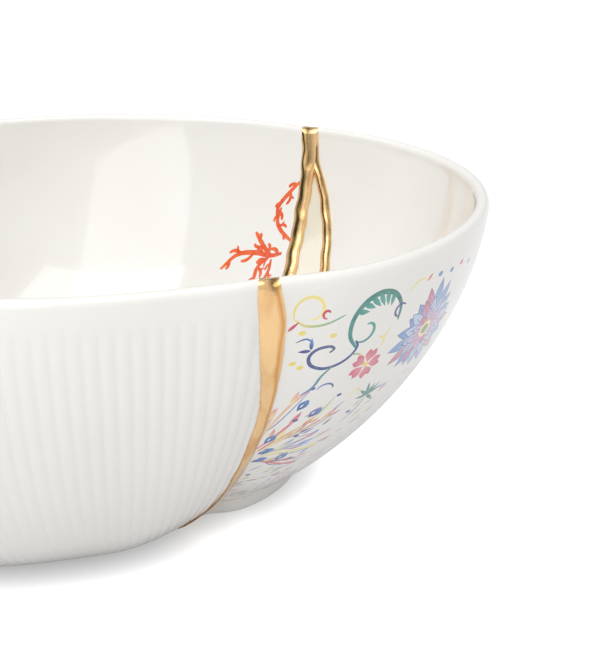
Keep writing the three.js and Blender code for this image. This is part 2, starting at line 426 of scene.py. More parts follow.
def build_shard(shard, rows, strokes):
    outline, first, last = skin_outline(shard)
    polygons = [counter_clockwise(outline)] + [counter_clockwise(np.array(s["outline"])) for s in strokes]
    faces_in = []
    start = 0
    for polygon in polygons:
        faces_in.append(list(range(start, start + len(polygon))))
        start += len(polygon)
    flat_in = np.concatenate(polygons + [grid_points(shard, rows)])
    coords = [Vector((a * FLAT_SCALE, s)) for a, s in flat_in]
    flat, _, faces, _, _, owners = delaunay_2d_cdt(coords, [], faces_in, 1, 1e-6)
    flat = np.array([(v.x / FLAT_SCALE, v.y) for v in flat])
    kept = [(face, owner) for face, owner in zip(faces, owners) if 0 in owner]
    angle = joined_angles(shard, flat)
    points = skin_point(shard, angle, flat[:, 1])
    normals = skin_normals(shard, angle, flat[:, 1])
    skin = [face for face, _ in kept]
    paints = [max(owner) - 1 for _, owner in kept]
    edges = cut_faces(shard, flat, points, skin, first, last)

    _, seen, same = np.unique(np.round(points, 4), axis=0, return_index=True, return_inverse=True)
    same = same.reshape(-1)
    corners = []
    loop_normals = []
    loop_paint = []
    for face, paint in zip(skin, paints):
        if len({same[v] for v in face}) < 3:
            continue
        corners.append([int(same[v]) for v in face])
        loop_normals += [normals[v] for v in face]
        colour = strokes[paint]["colour"] if paint >= 0 else None
        loop_paint += [colour(*flat[v]) if colour else BARE for v in face]
    for face in edges:
        if len({same[v] for v in face}) < 3:
            continue
        a, b, c = (points[v] for v in face)
        normal = np.cross(b - a, c - a)
        size = np.linalg.norm(normal)
        corners.append([int(same[v]) for v in face])
        loop_normals += [normal / size if size > 0 else np.array((0.0, 0.0, 1.0))] * 3
        loop_paint += [BARE] * 3

    mesh = bpy.data.meshes.new(shard["name"])
    mesh.from_pydata((points[seen] * MM).tolist(), [], corners)
    mesh.polygons.foreach_set("use_smooth", [True] * len(mesh.polygons))
    layer = mesh.color_attributes.new("paint", "FLOAT_COLOR", "CORNER")
    layer.data.foreach_set("color", np.array(loop_paint, float).reshape(-1))
    mesh.normals_split_custom_set(np.array(loop_normals).tolist())
    piece = bpy.data.objects.new(shard["name"] + "_glazed", mesh)
    bpy.context.collection.objects.link(piece)
    return piece


def rows_of(shard, wall_step, wall_spacing):
    cut = shard["section"]
    rows = []
    for along in cut["along"][1 : len(shard["under"])]:
        rows += [(along + shift, LIP_SPACING * 1.5) for shift in (-CORNER_HALF, 0.0, CORNER_HALF)]
    wall_count = int((cut["shoulder"] - cut["wall"]) / wall_step)
    inner_count = int((cut["floor"] - cut["inside"]) / INNER_STEP)
    runs = (
        (cut["wall"] + 0.4, cut["shoulder"] - 0.2, wall_count, wall_spacing),
        (cut["shoulder"], cut["inside"], LIP_ROWS, LIP_SPACING),
        (cut["inside"] + 1.0, cut["floor"], inner_count, INNER_SPACING),
        (cut["floor"] + 4, cut["end"] - 3, FLOOR_ROWS, INNER_SPACING * 2),
    )
    for start, end, count, spacing in runs:
        rows += [(along, spacing) for along in np.linspace(start, end, count)]
    return rows


# Gold seam and cream sliver: rings of points at stations along the break, from the near rim over the floor
# to the far rim, each ring going across the outside from left to right and back across the inside.
WALL_STATIONS = 80
STATION_EASE = 1.8
RIM_BLEND = 4.0
FLOOR_STATIONS = 40
FLOOR_BEND = 8.0
SEAM_TOP = 75.9
SEAM_BOTTOM = 0.5
RECESS_GAP = 0.3
NOTCH_NEAR = 0.6
NOTCH_FAR = 0.15
NICK_PLACE = 0.66
NICK_WIDTH = 0.24
RING_HALF = 11
OUTER, INNER = 0, 1
UV_ENDS = 1.45
EDGE_RISE = 0.22
RIM_FLATTENS = 0.8
CHAIN_SAMPLES = 240
SPLIT_RANGE = (-1.4, 0.6)
CROWN_OUT, CROWN_OUT_WANDER = 0.5, 0.15
CROWN_IN, CROWN_IN_FAR, CROWN_IN_WANDER = 0.55, 0.6, 0.35
EDGE_WANDER, EDGE_WANDER_FAR = 0.15, 0.2
GOLD_LIFT = 0.05
RIGHT_CROWN = 0.8
CREAM_LEAST = 0.1
CREAM_TUCK = 0.5
CREAM_CROWN = -0.15
SMOOTH_ANGLE = math.radians(50)


def break_chain(shard, wall, inside):
    cut = shard["section"]
    ends = (cut["end"], cut["inside"]) if inside else (0.0, cut["lip"])
    last = opening_start(shard, *ends)
    end = 0 if shard["side"] * wall < 0 else 1
    along = np.linspace(cut["lip"], last, CHAIN_SAMPLES)
    angle = np.array([ring_span(shard, a)[end] for a in along])
    return skin_point(shard, angle, along)


def at_height(chain, heights):
    down = chain[: np.argmin(chain[:, 2]) + 1][::-1]
    return np.stack([np.interp(heights, down[:, 2], down[:, k]) for k in range(3)], axis=1)


def break_run(shard, inside):
    near = break_chain(shard, -1, inside)
    far = break_chain(shard, 1, inside)
    lowest = FLOOR_BEND if inside else SEAM_BOTTOM
    eased = np.linspace(0, 1, WALL_STATIONS) ** STATION_EASE
    heights = SEAM_TOP + (lowest - SEAM_TOP) * eased
    near_wall = at_height(near, heights)
    far_wall = at_height(far, heights)[::-1]
    floor_y = np.linspace(near_wall[-1, 1], far_wall[0, 1], FLOOR_STATIONS + 2)[1:-1]
    if inside:
        low = np.concatenate([near[near[:, 2] < FLOOR_BEND + 1], far[far[:, 2] < FLOOR_BEND + 1][::-1]])
        low = low[np.argsort(low[:, 1])]
        floor = np.stack([np.interp(floor_y, low[:, 1], low[:, k]) for k in range(3)], axis=1)
    else:
        height = np.full(FLOOR_STATIONS, RECESS_HEIGHT + RECESS_GAP)
        floor = np.stack([break_x(shard["side"], floor_y, height), floor_y, height], axis=1)
    return np.concatenate([near_wall, floor, far_wall])


RUNS = {side: (break_run(bowl, False), break_run(bowl, True)) for side, bowl in ((-1, FLUTED), (1, FLORAL))}
STATIONS = len(RUNS[1][INNER])
SEAM_WIDTH = np.linalg.norm(RUNS[1][INNER] - RUNS[-1][INNER], axis=1)
SEAM_LENGTH = np.linalg.norm(np.diff(RUNS[-1][INNER], axis=0), axis=1)
SEAM_LENGTH = np.concatenate([[0.0], np.cumsum(SEAM_LENGTH)])
FAR_SIDE = smoothstep(RUNS[-1][INNER][:, 1], CREAM_START - CREAM_EASE, CREAM_START + CREAM_EASE)
CREAM_WIDTH = SEAM_WIDTH - GOLD_LEFT_WIDTH - GOLD_RIGHT_WIDTH
SPLIT = smoothstep(CREAM_WIDTH, *SPLIT_RANGE) * FAR_SIDE


# Slow unevenness of a hand-laid line: a few waves that don't repeat together
def wander(length, seed, amount):
    waves = ((0.11, 0.0), (0.23, 1.3), (0.41, 2.9), (0.74, 0.6))
    stretched = length * (1 + 0.07 * seed)
    return amount * sum(np.sin(k * stretched + phase + 2.1 * seed) for k, phase in waves) / 3


def bar_rings(rows, low, high, crown_out, crown_in, lift):
    rings = []
    share = np.linspace(0, 1, RING_HALF)
    dome = np.sqrt(np.clip(1 - (2 * share - 1) ** 2, 0, 1))
    for i in rows:
        across = low[i] + (high[i] - low[i]) * share
        outer = RUNS[-1][OUTER][i] + across[:, None] * (RUNS[1][OUTER][i] - RUNS[-1][OUTER][i])
        inner = RUNS[-1][INNER][i] + across[:, None] * (RUNS[1][INNER][i] - RUNS[-1][INNER][i])
        outward = (outer - inner).mean(axis=0)
        outward /= np.linalg.norm(outward)
        height = RUNS[-1][INNER][i, 2]
        at_rim = smoothstep(height, RIM_HEIGHT - RIM_BLEND, RIM_HEIGHT)
        notch = NOTCH_NEAR if i < STATIONS / 2 else NOTCH_FAR
        sunk = np.outer(notch * at_rim * np.exp(-(((share - NICK_PLACE) / NICK_WIDTH) ** 2)), (0, 0, 1))
        fade = 1 - RIM_FLATTENS * at_rim
        raised = lift + EDGE_RISE * (1 - at_rim) + crown_out[i] * fade * dome
        outer = outer + np.outer(raised, outward) - sunk
        inner = inner - np.outer(lift + crown_in[i] * fade * dome, outward) - sunk
        rings.append(np.concatenate([outer, inner[::-1], outer[:1]]))
    return np.array(rings)


def select_nothing():
    if bpy.context.object and bpy.context.object.mode == "EDIT":
        bpy.ops.object.mode_set(mode="OBJECT")
    bpy.ops.object.select_all(action="DESELECT")


# A closed bar: a grid bent through the rings, its long edges merged and its ends filled
def lay_bar(name, rings):
    select_nothing()
    stations, around, _ = rings.shape
    bpy.ops.mesh.primitive_grid_add(x_subdivisions=around - 1, y_subdivisions=stations - 1, size=1)
    bar = bpy.context.object
    bar.name = name
    bar.data.vertices.foreach_set("co", (rings * MM).reshape(-1))
    bpy.ops.object.mode_set(mode="EDIT")
    bpy.ops.mesh.select_all(action="SELECT")
    bpy.ops.mesh.remove_doubles(threshold=1e-7)
    bpy.ops.mesh.select_all(action="DESELECT")
    bpy.ops.mesh.select_non_manifold()
    bpy.ops.mesh.fill_holes(sides=0)
    bpy.ops.mesh.select_all(action="SELECT")
    bpy.ops.mesh.normals_make_consistent(inside=False)
    bpy.ops.object.mode_set(mode="OBJECT")
    bpy.ops.object.shade_smooth_by_angle(angle=SMOOTH_ANGLE)
    return bar


def lay_seam():
    every = np.arange(STATIONS)
    reach = GOLD_OVERLAP / SEAM_WIDTH
    crown_out = CROWN_OUT + wander(SEAM_LENGTH, 1, CROWN_OUT_WANDER)
    crown_in = CROWN_IN + CROWN_IN_FAR * FAR_SIDE + wander(SEAM_LENGTH, 2, CROWN_IN_WANDER)
    edge = wander(SEAM_LENGTH, 3, EDGE_WANDER + EDGE_WANDER_FAR * FAR_SIDE) / SEAM_WIDTH
    left_end = 1 + (GOLD_LEFT_WIDTH / SEAM_WIDTH - 1) * SPLIT + reach * (1 - SPLIT) + edge * SPLIT
    left = lay_bar("gold_left", bar_rings(every, edge - reach, left_end, crown_out, crown_in, GOLD_LIFT))
    beside = every[(CREAM_WIDTH > SPLIT_RANGE[0]) & (FAR_SIDE > 0.5)]
    start = 1 - (GOLD_RIGHT_WIDTH + CREAM_LAP) / SEAM_WIDTH + edge
    end = 1 + reach + 0.5 * edge
    crowns = crown_out * RIGHT_CROWN, crown_in * RIGHT_CROWN
    right = lay_bar("gold_right", bar_rings(beside, start, end, *crowns, GOLD_LIFT))
    # The right bar's places across run the other way, so that its painted dark reflection lies towards its
    # right edge
    for corner in right.data.uv_layers.active.data:
        corner.uv.x = UV_ENDS - corner.uv.x
    select_nothing()
    right.select_set(True)
    left.select_set(True)
    bpy.context.view_layer.objects.active = left
    bpy.ops.object.join()
    left.name = "gold_seam_raised"
    return left


def lay_sliver():
    wide = np.arange(STATIONS)[CREAM_WIDTH * FAR_SIDE > CREAM_LEAST]
    tuck = CREAM_TUCK / SEAM_WIDTH
    flat = np.full(STATIONS, CREAM_CROWN)
    low = GOLD_LEFT_WIDTH / SEAM_WIDTH - tuck
    high = 1 - GOLD_RIGHT_WIDTH / SEAM_WIDTH + tuck
    return lay_bar("cream_sliver", bar_rings(wide, low, high, flat, flat, 0.0))


# Finishes
GLAZE_WHITE = (0.86, 0.845, 0.815, 1)
GLAZE_WARM = (0.845, 0.825, 0.785, 1)
GLAZE_SPECKS = 0.06
CREAM_SPECKS = 0.1
GLAZE_COAT = 0.85
GLAZE_COAT_ROUGHNESS = 0.02
GLAZE_ROUGHNESS = (0.1, 0.22)
GLAZE_BUMP = (0.12, 0.00006)
CLOUD_SCALE = 38.0
PEEL_SCALE = 260.0
PIT_SCALE = 160.0
PIT_EDGE = (0.03, 0.07)
PIT_COLOUR = (0.42, 0.38, 0.33, 1)
WASH_SCALE = 900.0
WASH_THIN = 0.9
# The sliver's cream is painted shade: the glaze of the white shards made darker and warmer
CREAM_SHADE_PALE = (0.7, 0.65, 0.53, 1)
CREAM_SHADE_DEEP = (0.65, 0.59, 0.46, 1)
GOLD_BRIGHT = (0.98, 0.66, 0.34, 1)
GOLD_DEEP = (0.86, 0.5, 0.22, 1)
# Painted shade on the gold: a rust-brown streak over the outside and a dark olive painted reflection of the
# dark surroundings over the inside
GOLD_SHADE_STREAK = (0.72, 0.36, 0.12, 1)
GOLD_SHADE_DARK = (0.17, 0.115, 0.04, 1)
GOLD_ROUGHNESS = (0.1, 0.32)
GOLD_BUMP = (0.35, 0.00025)
STREAK_SCALE = 260.0
STREAK_STRETCH = (1.0, 1.0, 0.3)
RIPPLE_SCALE = 420.0
MIX_FACTOR, MIX_FIRST, MIX_SECOND, MIX_COLOUR = 0, 6, 7, 2

# Places across a gold bar: 0 to 0.45 over the outside, left to right, and 0.5 to 0.95 back over the inside
# Where the painted shade streak and the painted dark reflection lie across a bar
SHADE_STREAK_BAND = (0.3, 0.38, 0.45)
DARK_REFLECTION_BAND = (0.6, 0.8, 0.95)
BAND_WANDER = 0.03
# Where the painted shade in the notch at the top of the near seam lies across and along the gold
NOTCH_SHADE_ACROSS = (0.2, 0.3, 0.42)
NOTCH_SHADE_ALONG = (-0.06, 0.03, 0.07)


# Feeds the inputs of a node with values or with what other nodes give
def feed(tree, node, inputs):
    for name, source in inputs.items():
        if isinstance(source, bpy.types.NodeSocket):
            tree.links.new(source, node.inputs[name])
        else:
            node.inputs[name].default_value = source
    return node


def add_node(tree, kind, inputs, operation=None):
    node = tree.nodes.new("ShaderNode" + kind)
    if operation:
        node.operation = operation
    return feed(tree, node, inputs).outputs


def object_place(tree):
    return add_node(tree, "TexCoord", {})["Object"]


def noise(tree, scale, detail, where):
    return add_node(tree, "TexNoise", {"Scale": scale, "Detail": detail, "Vector": where})["Fac"]


def spread(tree, value, low, high, start=0.0, end=1.0):
    inputs = {"Value": value, "From Min": low, "From Max": high, "To Min": start, "To Max": end}
    return add_node(tree, "MapRange", inputs)["Result"]


def combine(tree, operation, first, second):
    return add_node(tree, "Math", {0: first, 1: second}, operation)["Value"]


def blend(tree, factor, first, second):
    node = tree.nodes.new("ShaderNodeMix")
    node.data_type = "RGBA"
    return feed(tree, node, {MIX_FACTOR: factor, MIX_FIRST: first, MIX_SECOND: second}).outputs[MIX_COLOUR]


# Shared by the three porcelains: a cloudy mix of two body colours, a roughness that varies with it and
# a gentle orange-peel height with a few pinholes
def make_glaze_group():
    group = bpy.data.node_groups.new("fired_glaze", "ShaderNodeTree")
    sockets = (
        ("Body", "INPUT", "Color"), ("Cloud", "INPUT", "Color"), ("Specks", "INPUT", "Float"),
        ("Colour", "OUTPUT", "Color"), ("Roughness", "OUTPUT", "Float"), ("Height", "OUTPUT", "Float"),
    )
    for name, way, kind in sockets:
        group.interface.new_socket(name, in_out=way, socket_type="NodeSocket" + kind)
    into = group.nodes.new("NodeGroupInput").outputs
    where = object_place(group)
    cloud = noise(group, CLOUD_SCALE, 3.0, where)
    body = blend(group, spread(group, cloud, 0.35, 0.7), into["Body"], into["Cloud"])
    pits = add_node(group, "TexVoronoi", {"Scale": PIT_SCALE, "Vector": where})
    pit = spread(group, pits["Distance"], *PIT_EDGE, 1.0, 0.0)
    speck = combine(group, "MULTIPLY", pit, into["Specks"])
    peel = noise(group, PEEL_SCALE, 1.0, where)
    feed(group, group.nodes.new("NodeGroupOutput"), {
        "Colour": blend(group, speck, body, PIT_COLOUR),
        "Roughness": spread(group, cloud, 0.3, 0.75, *GLAZE_ROUGHNESS),
        "Height": combine(group, "SUBTRACT", peel, speck),
    })
    return group


def start_material(name):
    material = bpy.data.materials.new(name)
    material.use_nodes = True
    return material, material.node_tree, material.node_tree.nodes["Principled BSDF"]


def bump(tree, height, strength, distance):
    return add_node(tree, "Bump", {"Strength": strength, "Distance": distance, "Height": height})["Normal"]


# Porcelain: glaze over a body colour, with the brushwork carried by the paint attribute where there is some
def porcelain(name, glaze, body, cloud, specks, painted):
    material, tree, shader = start_material(name)
    fired = tree.nodes.new("ShaderNodeGroup")
    fired.node_tree = glaze
    glazed = feed(tree, fired, {"Body": body, "Cloud": cloud, "Specks": specks}).outputs
    colour = glazed["Colour"]
    if painted:
        paint = tree.nodes.new("ShaderNodeAttribute")
        paint.attribute_name = "paint"
        wash = noise(tree, WASH_SCALE, 2.0, object_place(tree))
        thin = spread(tree, wash, 0.3, 0.7, WASH_THIN, 1.0)
        cover = combine(tree, "MULTIPLY", paint.outputs["Alpha"], thin)
        colour = blend(tree, cover, colour, paint.outputs["Color"])
    feed(tree, shader, {
        "Base Color": colour, "Roughness": glazed["Roughness"],
        "Coat Weight": GLAZE_COAT, "Coat Roughness": GLAZE_COAT_ROUGHNESS,
        "Normal": bump(tree, glazed["Height"], *GLAZE_BUMP),
    })
    return material


# A mask for the gold's painted shade and painted reflections: a streak that runs along a bar, between two
# places of its width, with an uneven edge
def band(tree, streak, axis, start, peak, end):
    across = add_node(tree, "SeparateXYZ", {"Vector": add_node(tree, "UVMap", {})["UV"]})[axis]
    shifted = spread(tree, streak, 0.3, 0.7, -BAND_WANDER, BAND_WANDER)
    moved = combine(tree, "ADD", across, shifted)
    rise = spread(tree, moved, start, peak)
    fall = spread(tree, moved, peak, end, 1.0, 0.0)
    return combine(tree, "MULTIPLY", rise, fall)


def gold_leaf():
    material, tree, shader = start_material("gold")
    where = object_place(tree)
    drawn = add_node(tree, "Mapping", {"Scale": STREAK_STRETCH, "Vector": where})["Vector"]
    streak = noise(tree, STREAK_SCALE, 3.0, drawn)
    colour = blend(tree, spread(tree, streak, 0.5, 0.72), GOLD_BRIGHT, GOLD_DEEP)
    # Painted shade: a darker streak over the outside of each bar and a dark painted reflection over its
    # inside
    for shade_tint, place_across in ((GOLD_SHADE_STREAK, SHADE_STREAK_BAND), (GOLD_SHADE_DARK, DARK_REFLECTION_BAND)):
        colour = blend(tree, band(tree, streak, "X", *place_across), colour, shade_tint)
    # Painted shade: a dark patch in the notch at the top of the near seam
    across, along = band(tree, streak, "X", *NOTCH_SHADE_ACROSS), band(tree, streak, "Y", *NOTCH_SHADE_ALONG)
    ripple = noise(tree, RIPPLE_SCALE, 2.0, where)
    feed(tree, shader, {
        "Base Color": blend(tree, combine(tree, "MULTIPLY", across, along), colour, GOLD_SHADE_DARK),
        "Metallic": 1.0, "Roughness": spread(tree, streak, 0.3, 0.8, *GOLD_ROUGHNESS),
        "Normal": bump(tree, ripple, *GOLD_BUMP),
    })
    return material


def dress(piece, material, node):
    piece.data.materials.clear()
    piece.data.materials.append(material)
    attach(piece, "root")
    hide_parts(node)


# Brushwork. A place on a wall is (degrees round the shard, millimetres below the rim).
INKS = {
    "teal": (0.15, 0.54, 0.51), "sea": (0.32, 0.66, 0.6), "blue": (0.07, 0.21, 0.56),
    "sky": (0.33, 0.53, 0.8), "mist": (0.7, 0.8, 0.92), "violet": (0.42, 0.42, 0.74),
    "lilac": (0.76, 0.74, 0.9), "pink": (0.82, 0.3, 0.44), "blush": (0.91, 0.58, 0.62),
    "red": (0.74, 0.12, 0.15), "yellow": (0.93, 0.85, 0.42), "straw": (0.95, 0.9, 0.64),
    "green": (0.36, 0.58, 0.4), "leaf": (0.1, 0.46, 0.41), "slate": (0.32, 0.36, 0.52),
    "coral": (0.88, 0.28, 0.03), "flame": (0.93, 0.4, 0.1), "white": (0.96, 0.96, 0.95),
}


# A colour of the palette in linear light, fully covering
def ink(name):
    return tuple(((c + 0.055) / 1.055) ** 2.4 for c in INKS[name]) + (1.0,)


class Brush:
    """Collects the strokes that are painted on one wall of a shard"""

    def __init__(self, shard, inside):
        self.cut = shard["section"]
        self.inside = inside
        self.strokes = []

    def radius(self, drop):
        return np.interp(self.along(drop), self.cut["along"], self.cut["points"][:, 0])

    def along(self, drop):
        return self.cut["inside"] + drop if self.inside else self.cut["shoulder"] - drop

    # The place that lies so many millimetres right of and above another, as the wall is looked at
    def beside(self, place_at, right, above):
        degrees, drop = place_at
        turn = math.degrees(right / self.radius(drop))
        return degrees - turn if self.inside else degrees + turn, drop - above

    # The place so far from another in a direction, in degrees from the right, and so far to the left of that
    def toward(self, place_at, direction, reach, aside=0.0):
        c, s = math.cos(math.radians(direction)), math.sin(math.radians(direction))
        return self.beside(place_at, reach * c - aside * s, reach * s + aside * c)

    def lay(self, outline, spine, first, last):
        flat = np.stack([np.radians(outline[:, 0]), self.along(outline[:, 1])], axis=1)
        line = np.stack([np.radians(spine[:, 0]), self.along(spine[:, 1])], axis=1)
        first, last = np.array(first), np.array(last)

        def colour(angle, along):
            away = ((line[:, 0] - angle) * FLAT_SCALE) ** 2 + (line[:, 1] - along) ** 2
            share = np.argmin(away) / (len(line) - 1)
            return tuple(first + (last - first) * share)

        self.strokes.append({"outline": flat, "colour": colour})

    # A line through places, swelling between its ends
    def line(self, places, width, first, last=None, tips=0.25, swell=0.6):
        path = curve_through(places)
        radius = self.radius(path[:, 1])
        step = np.gradient(path, axis=0)
        run = np.stack([np.radians(step[:, 0]) * radius, -step[:, 1]], axis=1)
        run /= np.linalg.norm(run, axis=1)[:, None]
        share = np.linspace(0, 1, len(path))
        half = width / 2 * (tips + (1 - tips) * np.sin(np.pi * share) ** swell)
        out = np.stack([np.degrees(-run[:, 1] * half / radius), -run[:, 0] * half], axis=1)
        self.lay(np.concatenate([path + out, (path - out)[::-1]]), path, ink(first), ink(last or first))

    def scroll(self, centre, start_radius, end_radius, start, turn, width, first, last=None, tips=0.3):
        steps = max(6, int(abs(turn) / 30))
        places = []
        for share in np.linspace(0, 1, steps):
            reach = start_radius + (end_radius - start_radius) * share
            places.append(self.toward(centre, start + turn * share, reach))
        self.line(places, width, first, last, tips)

    # A pointed petal, leaf or drop that starts at a place and lies in a direction
    def petal(self, start, direction, length, width, first, last=None, belly=0.75):
        share = np.linspace(0, 1, 9)
        half = width / 2 * np.sin(np.pi * share**belly)

        def edge(side):
            return [self.toward(start, direction, r, side * h) for r, h in zip(length * share, half)]

        outline = np.array(edge(1) + edge(-1)[-2:0:-1])
        self.lay(outline, np.array(edge(0)), ink(first), ink(last or first))

    def dot(self, centre, size, name, stretch=1.0):
        turns = np.linspace(0, FULL_TURN, 10)[:-1]
        wide = size * stretch
        ring = [self.beside(centre, wide * math.cos(a), size * math.sin(a)) for a in turns]
        self.lay(np.array(ring), np.array(ring[:2]), ink(name), ink(name))

    # An open flower of broad petals, each with a paler heart
    def blossom(self, centre, size, petals, first, last, heart, start=90.0):
        for k in range(petals):
            direction = start + 360 * k / petals
            out = self.toward(centre, direction, 0.15 * size)
            self.petal(out, direction - 16, size, size * 0.5, last, first, belly=1.4)
            self.petal(out, direction + 16, size * 0.96, size * 0.5, last, first, belly=1.4)
        self.dot(centre, size * 0.2, heart)

    # A many-rayed flower: three rings of slim petals round a pale eye
    def aster(self, centre, size):
        rings = (
            (17, 1.0, 0.27, "mist", "sky"), (14, 0.78, 0.25, "lilac", "mist"),
            (11, 0.52, 0.2, "blush", "lilac"),
        )
        for ring, (petals, reach, width, first, last) in enumerate(rings):
            for k in range(petals):
                direction = 360 * (k + 0.5 * ring) / petals
                length = size * reach * (1 + 0.12 * math.sin(5.1 * k + ring))
                tip = "pink" if (k + ring) % 5 == 0 else last
                wide = size * width
                self.petal(centre, direction, length + 0.3, wide + 0.45, "violet", "slate", belly=1.25)
                self.petal(centre, direction, length, wide, first, tip, belly=1.25)
                vein = [self.toward(centre, direction, size * reach * share) for share in (0.35, 0.8)]
                self.line(vein, 0.25, "slate")
        self.dot(centre, size * 0.2, "straw")
        self.dot(centre, size * 0.12, "green")

    def tuft(self, root, size, first, last, directions):
        for k, direction in enumerate(directions):
            self.petal(root, direction, size * (1 - 0.12 * (k % 3)), size * 0.2, first, last)

    # A stem with short twigs to either side, some of them with a forked tip
    def sprig(self, places, width, first, last, twigs, reach):
        self.line(places, width, first, last, tips=0.5)
        path = curve_through(places)
        for k in range(twigs):
            at = path[int((k + 0.7) / (twigs + 0.4) * (len(path) - 1))]
            lean = 60 if k % 2 else -60
            ahead = path[min(len(path) - 1, int((k + 1.5) / (twigs + 0.4) * (len(path) - 1)))] - at
            right = np.radians(ahead[0]) * self.radius(at[1]) * (-1 if self.inside else 1)
            heading = math.degrees(math.atan2(-ahead[1], right)) + lean
            size = reach * (0.8 + 0.3 * math.sin(2.3 * k))
            twig = [at]
            for reach_share, turn in ((0.35, 0.0), (0.7, 0.2), (1.0, 0.45)):
                twig.append(self.toward(at, heading - turn * lean, reach_share * size))
            self.line(twig, width * 0.75, first, last, tips=0.3, swell=0.35)
            if k % 3 == 1:
                fork = heading + 0.7 * lean
                self.petal(twig[1], fork, size * 0.5, width * 0.5, first, last)


def curve_through(places, steps=6):
    p = np.array(places, float)
    p = np.concatenate([[2 * p[0] - p[1]], p, [2 * p[-1] - p[-2]]])
    points = []
    for a, b, c, d in zip(p, p[1:], p[2:], p[3:]):
        for t in np.linspace(0, 1, steps, endpoint=False):
            points.append(0.5 * (2 * b + (c - a) * t + (2 * a - 5 * b + 4 * c - d) * t**2
                                 + (3 * b - a - 3 * c + d) * t**3))
    return np.array(points + [p[-2]])


# The panel beside the near seam: a leafy scroll, a yellow tendril, a rayed flower and a small pink one
def paint_panel(brush, turn):
    def at(degrees, drop):
        return degrees + turn, drop

    brush.scroll(at(-61.0, 4.6), 3.9, 2.0, 200, -290, 0.75, "yellow", "straw")
    brush.line([at(-63.6, 6.0), at(-61.5, 8.0), at(-58.6, 8.1), at(-55.6, 6.6)], 0.6, "yellow", "sea")
    brush.petal(at(-64.3, 8.8), 40, 3.2, 0.8, "pink", "red")
    brush.scroll(at(-58.5, 5.7), 0.5, 1.2, 20, 250, 0.65, "red", "pink")
    brush.scroll(at(-49.4, 10.2), 7.2, 6.6, 232, -245, 1.3, "teal", "leaf", tips=0.35)
    for k in range(6):
        root = brush.toward(at(-49.4, 10.2), 150 - 18 * k, 6.9)
        brush.petal(root, 352 - 18 * k, 4.2 - 0.4 * abs(k - 2.5), 1.3, "teal", "sea")
    brush.scroll(at(-51.4, 11.6), 3.3, 1.4, 238, 215, 0.8, "teal", "sea")
    brush.scroll(at(-44.9, 9.6), 2.1, 1.0, 40, 235, 0.65, "blue", "slate")
    brush.line([at(-43.6, 5.6), at(-42.3, 4.0), at(-40.6, 3.5), at(-39.2, 4.1)], 0.5, "yellow", "straw")
    brush.petal(at(-39.4, 4.6), 40, 2.4, 0.8, "blush", "red")
    beads = ((-35.8, 4.3, "sky"), (-32.0, 4.9, "sky"), (-28.4, 4.6, "pink"), (-24.5, 6.0, "sky"))
    for degrees, drop, name in beads:
        brush.dot(at(degrees, drop), 0.65, name, 1.5)
    brush.line([
        at(-52.9, 13.8), at(-52.3, 15.6), at(-53.3, 17.9), at(-55.2, 19.4), at(-57.6, 19.8), at(-59.7, 18.4),
        at(-60.3, 16.1), at(-59.3, 14.3), at(-57.4, 13.9), at(-56.5, 14.7), at(-57.1, 15.6),
    ], 0.85, "blue", "slate", tips=0.5)
    brush.line([at(-55.8, 19.4), at(-57.4, 22.0), at(-58.4, 25.2), at(-60.2, 27.2)], 0.7, "green", "sky")
    brush.petal(at(-60.2, 14.2), 95, 3.2, 0.9, "blue", "sky")
    brush.petal(at(-60.2, 14.4), 178, 2.9, 0.9, "blue", "blue")
    brush.line([at(-60.0, 12.5), at(-61.2, 11.2), at(-62.8, 11.8)], 0.45, "sky", "slate")
    brush.scroll(at(-55.6, 26.8), 2.6, 1.5, 165, -150, 0.55, "sky", "slate")
    for degrees, drop in ((-62.0, 9.6), (-62.7, 17.3), (-57.1, 11.2), (-61.4, 18.6)):
        brush.dot(at(degrees, drop), 0.6, "yellow", 1.4)
    brush.line([at(-45.8, 13.0), at(-46.9, 15.0), at(-46.8, 16.8), at(-47.8, 18.4)], 0.6, "yellow", "straw")
    brush.petal(at(-46.8, 15.6), 150, 2.4, 0.7, "straw", "yellow")
    brush.line([at(-53.0, 17.4), at(-51.4, 18.0), at(-50.4, 19.6)], 0.5, "green", "straw")
    brush.blossom(at(-49.2, 21.8), 3.9, 5, "pink", "blush", "yellow", start=75)
    brush.aster(at(-35.2, 18.6), 11.4)
    brush.tuft(at(-44.6, 33.6), 5.0, "leaf", "teal", (20, 48, 75, 108, 140, 178, 320))
    brush.scroll(at(-48.6, 31.2), 1.8, 1.0, 330, 260, 0.5, "yellow", "straw")
    brush.line([at(-44.6, 33.8), at(-45.6, 38.5), at(-48.2, 42.0)], 0.4, "slate", "sky")


